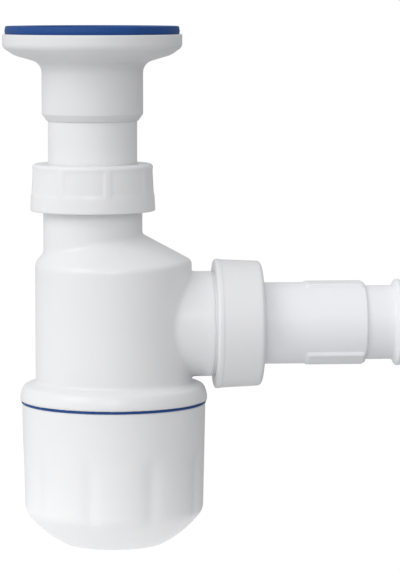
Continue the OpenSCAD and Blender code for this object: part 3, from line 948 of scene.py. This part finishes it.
def makeWaste():
    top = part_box("waste_body")[1].z
    r, wall = waste["tubeRadius"], waste["tubeWall"]
    tube = lathe("inletTube", subdivided(filleted([
        (r - wall, tubeLow.z + 1.2 * mm, 0.4 * mm),
        (r - 0.7 * mm, tubeLow.z, 0.2 * mm),
        (r, tubeLow.z + 0.3 * mm, 0.4 * mm),
        (r, tubeHigh.z, 0.5 * mm),
        (r - wall, tubeHigh.z, 0.5 * mm),
    ]), 4 * mm), 128, inletPlace)
    finishPiece(tube, "waste", bodyWhite, "moulded_pp", "inlet_tube")
    stem, socket, throat = waste["stemRadius"], r + 0.05 * mm, waste["throatRadius"]
    channelIn, channelOut = waste["channel"]
    profile = filleted([
        (socket, waste["stemFoot"] + 0.5 * mm, 0.2 * mm),
        (socket + 0.45 * mm, waste["stemFoot"], 0.2 * mm),
        (stem, waste["stemFoot"] + 3.4 * mm, 1 * mm),
        (stem, waste["stemTop"], 6 * mm),
        waste["flareFoot"],
        waste["flareEdge"],
        (waste["rimRadius"], top, 0.5 * mm),
        (channelOut, top, 0.3 * mm),
        (channelOut, waste["channelFloor"], 0.5 * mm),
        (channelIn, waste["channelFloor"], 0.5 * mm),
        (channelIn, top, 0.3 * mm),
        (waste["bowl"][0], top, 0.5 * mm),
        (waste["bowl"][1], waste["ledge"], 0.4 * mm),
        (waste["ledgeRadius"], waste["ledge"], 0.8 * mm),
        (throat, waste["throatTop"], 2 * mm),
        (throat, waste["socketTop"], 0.3 * mm),
        (socket, waste["socketTop"], 0.2 * mm),
    ], 8)
    flare = lathe("wasteFlare", subdivided(profile, 1.2 * mm), 192, inletPlace)
    finishPiece(flare, "waste", shadedWasteWhite, "moulded_pp", "waste_body")
    reach = throat + 0.6 * mm
    cross = inletSkin("wasteCross", crossDistance, reach, waste["hubFoot"] - 1.2 * mm,
                      waste["hubTop"] + 1.3 * mm, waste["cell"])
    finishPiece(cross, "waste", shadedWasteWhite, "moulded_pp")


def crossDistance(x, y, z):
    # a hub with a bore for the insert, and two crossing webs that end in the throat's wall
    u, v = (x - inletAxis[0] + y) * cos45, (y - x + inletAxis[0]) * cos45
    radial = np.hypot(u, v)
    hub = rod(radial, z, waste["hubRadius"], waste["hubFoot"], waste["hubTop"], 1 * mm)
    webs = np.minimum(np.abs(u), np.abs(v)) - waste["armWidth"] / 2
    webs = softMax(softMax(webs, np.maximum(waste["armFoot"] - z, z - waste["armTop"]), 0.8 * mm),
                   radial - waste["throatRadius"] - 0.3 * mm, 0.4 * mm)
    return softMax(softMin(hub, webs, 2 * mm), waste["hubBore"] - radial, 0.5 * mm)


sinkRing = inMetres({
    "innerRadius": 33.0,
    "grooves": (40.3, 37.75, 35.2),     # middles of the fine grooves in its upper face
    "grooveDepth": 0.5,
    "halfWidth": 0.65,        # of a groove at the surface and at its floor
    "halfFloor": 0.3,
})


def makeSinkGasket():
    # rubber ring whose upper face is cut into fine sealing ridges
    low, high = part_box("sink_gasket")
    wide, inner = (high.x - low.x) / 2, sinkRing["innerRadius"]
    half, floor, depth = sinkRing["halfWidth"], sinkRing["halfFloor"], sinkRing["grooveDepth"]
    across = ((half, 0), (floor, depth), (-floor, depth), (-half, 0))
    grooves = [(middle + side, high.z - sink, 0.2 * mm)
               for middle in sinkRing["grooves"] for side, sink in across]
    ring = lathe("sinkGasket", filleted([
        (inner, low.z, 0.4 * mm),
        (wide - 0.2 * mm, low.z, 0.4 * mm),
        (wide, low.z + 1.6 * mm, 1.2 * mm),
        (wide - 0.4 * mm, high.z, 0.8 * mm),
        *grooves,
        (inner, high.z, 0.5 * mm),
    ], 4), 192, inletPlace)
    finishPiece(ring, "waste", ringBlue, "blue_rubber", "sink_gasket")


makeWaste()
makeSinkGasket()
print("waste made")

# Strainer: a pressed steel dish with two rings of holes, its flat gasket, its screw and the brass insert
strainer = {
    "thickness": 0.8 * mm,
    "rimTop": 243.4 * mm,
    "floorTop": 240.8 * mm,
    "rimRadius": 31.5 * mm,
    "floorRadius": 26.0 * mm,
    "holeRadius": 3 * mm,
    "rings": ((12, 19.5 * mm), (6, 11.3 * mm)),
    "boltHole": 3.2 * mm,
    "dimple": 0.25 * mm,              # the sheet is drawn down a little round each hole
    "cell": 0.42 * mm,
    "gasketRadius": 28.8 * mm,        # inside of the flat gasket under the rim
}
screw = inMetres({
    "shank": 2.95,
    "root": 2.62,
    "head": 5.8,
    "headFoot": 240.85,
    "headDome": 9,
    "slot": 1.2,
    "slotReach": 4,
    "slotDepth": 1.7,
    "threadTop": 237,
    "cell": 0.26,
})
insertBore = 3.05 * mm


def strainerDistance(x, y, z):
    # a sheet of even thickness that follows a dished height, less the holes
    x = x - inletAxis[0]
    radial, angle = np.hypot(x, y), np.arctan2(y, x)
    holes = radial - strainer["boltHole"]
    for count, ring in strainer["rings"]:
        turn = 2 * np.pi / count
        near = (angle + turn / 2) % turn - turn / 2
        hole = np.hypot(radial * np.cos(near) - ring, radial * np.sin(near)) - strainer["holeRadius"]
        holes = np.minimum(holes, hole)
    rise = smoothStep(strainer["floorRadius"], strainer["floorRadius"] + 2.4 * mm, radial)
    middle = strainer["floorTop"] - strainer["thickness"] / 2
    middle = middle + (strainer["rimTop"] - strainer["floorTop"]) * rise
    middle = middle - strainer["dimple"] * (1 - smoothStep(0, 1.4 * mm, holes))
    lean = 6 * rise * (1 - rise)
    sheet = (np.abs(z - middle) - strainer["thickness"] / 2) / np.sqrt(1 + lean)
    return softMax(softMax(sheet, -holes, 0.35 * mm), radial - strainer["rimRadius"], 0.35 * mm)


def screwDistance(x, y, z):
    # a shank, a domed head cut by a cross of slots
    x = x - inletAxis[0]
    radial = np.hypot(x, y)
    foot, top = (corner.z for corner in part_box("grate_screw"))
    shank = softMax(radial - np.where(z < screw["threadTop"], screw["root"], screw["shank"]),
                    np.maximum(foot - z, z - screw["headFoot"] - 1 * mm), 0.6 * mm)
    dome = np.hypot(radial, z - top + screw["headDome"]) - screw["headDome"]
    head = softMax(softMax(radial - screw["head"], dome, 0.5 * mm), screw["headFoot"] - z, 0.4 * mm)
    half, reach = screw["slot"] / 2, screw["slotReach"]
    slots = np.minimum(np.maximum(np.abs(x) - half, np.abs(y) - reach),
                       np.maximum(np.abs(y) - half, np.abs(x) - reach))
    slots = np.maximum(slots, top - screw["slotDepth"] - z)
    return softMax(softMin(shank, head, 0.4 * mm), -slots, 0.25 * mm)


def makeStrainer():
    reach = strainer["rimRadius"] + 0.8 * mm
    dish = inletSkin("strainerGrate", strainerDistance, reach, strainer["floorTop"] - 1.7 * mm,
                     strainer["rimTop"] + 0.8 * mm, strainer["cell"])
    finishPiece(dish, "strainer", steel, "stainless", "strainer_grate")
    ring = flatRing("grateGasket", "grate_gasket", strainer["gasketRadius"], (0.3, 0.4, 0.4, 0.3), 128)
    finishPiece(ring, "strainer", ringBlue, "blue_rubber", "grate_gasket")
    low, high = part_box("grate_screw")
    reach = screw["head"] + 0.6 * mm
    bolt = inletSkin("strainerScrew", screwDistance, reach, low.z - 0.6 * mm, high.z + 0.6 * mm,
                     screw["cell"])
    finishPiece(bolt, "strainer_screw", steel, "stainless", "grate_screw")
    coil = helixRidge("strainerScrewThread", inletPlace, screw["root"], screw["shank"], low.z + 0.8 * mm,
                      screw["threadTop"] - 0.5 * mm, screwPitch, 0, 0.8 * mm, 0.15 * mm)
    coil.modifiers.clear()       # the ridge is narrower than the bevel
    finishPiece(coil, "strainer_screw", steel, "stainless")
    sleeve = flatRing("screwInsert", "screw_insert", insertBore, (0.3, 0.4, 0.4, 0.5), 64)
    finishPiece(sleeve, "waste", brass, "brass", "screw_insert")


makeStrainer()
print("strainer made")

# Hose cuff: a tube that widens inside into the hose's socket, a broad grip pad below, a narrow one above
cuff = {
    "radius": 20 * mm,
    "bore": 17.9 * mm,
    "socket": 18.25 * mm,
    "socketFoot": 95.5 * mm,
    "padStart": 94 * mm,
    "padEnd": 122.2 * mm,
    "pads": ((-90, 98), (90, 50)),     # middle of each pad in degrees up from the front, and its width
    "padLow": 0.55 * mm,
    "padHigh": 1.9 * mm,
    "padRise": 24,                     # degrees from a pad's edge over which it is higher
    "edge": 1.0,                       # degrees over which a pad's side rises
}


def cuffPads(r, angle, x):
    # a pad has steep sides and is low + (high - low) * t^2 high; t runs from 0 to 1 over a strip by its edge
    elevation = np.degrees(angle) + 90
    pads = 0
    for middle, width in cuff["pads"]:
        toEdge = width / 2 - np.abs((elevation - middle + 180) % 360 - 180)
        strip = np.clip(1 - toEdge / cuff["padRise"], 0, 1)
        face = cuff["padLow"] + (cuff["padHigh"] - cuff["padLow"]) * strip ** 2
        pads = np.maximum(pads, smoothStep(-cuff["edge"], cuff["edge"], toEdge) * face)
    ends = smoothStep(cuff["padStart"] - 0.3 * mm, cuff["padStart"] + 0.5 * mm, x)
    ends = ends * (1 - smoothStep(cuff["padEnd"] - 0.6 * mm, cuff["padEnd"], x))
    return np.where(r > cuff["socket"] + 0.9 * mm, r + pads * ends, r)


def makeCuff():
    low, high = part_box("hose_cuff")
    radius, bore, socket = cuff["radius"], cuff["bore"], cuff["socket"]
    profile = filleted([
        (bore, low.x, 0.5 * mm),
        (radius - 0.4 * mm, low.x, 0.3 * mm),
        (radius, low.x + 1.5 * mm, 0.5 * mm),
        (radius, high.x, 0.9 * mm),
        (socket, high.x, 0.3 * mm),
        (socket, cuff["socketFoot"], 0.2 * mm),
        (bore, cuff["socketFoot"], 0.3 * mm),
    ])
    piece = lathe("hoseCuff", subdivided(profile, 0.7 * mm), 320, outletPlace, cuffPads)
    finishPiece(piece, "hose", litHoseWhite, "hose_pp", "hose_cuff")


makeCuff()
print("hose cuff made")

# Studio: a very wide white floor that curves up far behind, soft light from the upper left front
studio = {
    "floorHeight": -0.013,    # low enough for the cup to come off above it
    "flatRadius": 12,
    "outerRadius": 16,
    "rimHeight": 4,
    # azimuth and elevation in degrees (azimuth from the camera's side towards +X), distance, size and power
    "keyLight": (-56, 36, 2.2, 1.5, 12.5),
    "frontLight": (-8, 24, 1.6, 0.5, 3.6),
    "aim": (0.04, 0.0, 0.13),
    "bounceCentre": (-0.06, -0.01, -0.0125),
    "bounceSize": 0.30,
    "bouncePower": 0.105,
    "skyLow": 0.34,
    "skyHigh": 0.80,
    "skyTowards": (-0.80, -0.10, 0.60),
}


def makeFloor():
    # rings of points: flat in the middle, then rising smoothly to the rim
    radius = np.concatenate([[0, 0.3, 1, 4, studio["flatRadius"]],
                             np.linspace(studio["flatRadius"], studio["outerRadius"], 12)[1:]])
    rise = smoothStep(studio["flatRadius"], studio["outerRadius"] * 1.15, radius)
    height = studio["floorHeight"] + studio["rimHeight"] * rise
    angle = np.linspace(0, 2 * np.pi, 96, endpoint=False)
    points = np.stack([
        radius[:, None] * np.cos(angle), radius[:, None] * np.sin(angle), height[:, None] + 0 * angle], -1)
    faces = gridFaces(len(radius), len(angle), False, True)
    floor = addMesh("floor", points.reshape(-1, 3), faces)
    material = bpy.data.materials.new("studioPaper")
    material.use_nodes = True
    shader = material.node_tree.nodes["Principled BSDF"]
    shader.inputs["Base Color"].default_value = linearColour("#303030")
    shader.inputs["Roughness"].default_value = 1.0
    shader.inputs["Specular IOR Level"].default_value = 0.0
    shader.inputs["Emission Color"].default_value = linearColour("#FFFFFF")
    shader.inputs["Emission Strength"].default_value = 0.99
    floor.data.materials.append(material)
    floor.visible_diffuse = False
    floor.visible_glossy = False
    floor.visible_shadow = False


def areaLight(name, place, direction, size, power):
    # a round lamp at place that shines against direction
    data = bpy.data.lights.new(name, "AREA")
    data.shape, data.size, data.energy = "DISK", size, power
    lamp = bpy.data.objects.new(name, data)
    bpy.context.scene.collection.objects.link(lamp)
    lamp.location = place
    lamp.rotation_euler = direction.to_track_quat("Z", "Y").to_euler()
    lamp.visible_camera = False


def makeLights():
    for name in ("keyLight", "frontLight"):
        azimuth, elevation, distance, size, power = studio[name]
        azimuth, elevation = math.radians(azimuth), math.radians(elevation)
        level = math.cos(elevation)
        direction = Vector((math.sin(azimuth) * level, -math.cos(azimuth) * level, math.sin(elevation)))
        areaLight(name, Vector(studio["aim"]) + direction * distance, direction, size, power)
    centre, down = Vector(studio["bounceCentre"]), Vector((0, 0, -1))
    areaLight("bounceLight", centre, down, studio["bounceSize"], studio["bouncePower"])
    # sky: brightness = low .. high as the direction turns from away to towards the upper left
    world = bpy.data.worlds.new("studioSky")
    bpy.context.scene.world = world
    world.use_nodes = True
    tree = world.node_tree
    direction = addNode(tree, "ShaderNodeTexCoord").outputs["Generated"]
    towards = Vector(studio["skyTowards"]).normalized()
    dot = addNode(tree, "ShaderNodeVectorMath", {"operation": "DOT_PRODUCT"}, {1: towards}, {0: direction})
    limits = {"From Min": -1.0, "From Max": 1.0, "To Min": studio["skyLow"], "To Max": studio["skyHigh"]}
    strength = addNode(tree, "ShaderNodeMapRange", inputs=limits, links={"Value": dot.outputs["Value"]})
    tree.links.new(strength.outputs["Result"], tree.nodes["Background"].inputs["Strength"])
    tree.nodes["Background"].inputs["Color"].default_value = (1, 1, 1, 1)


makeFloor()
makeLights()
bpy.context.scene.view_settings.view_transform = "Standard"
print("studio made")
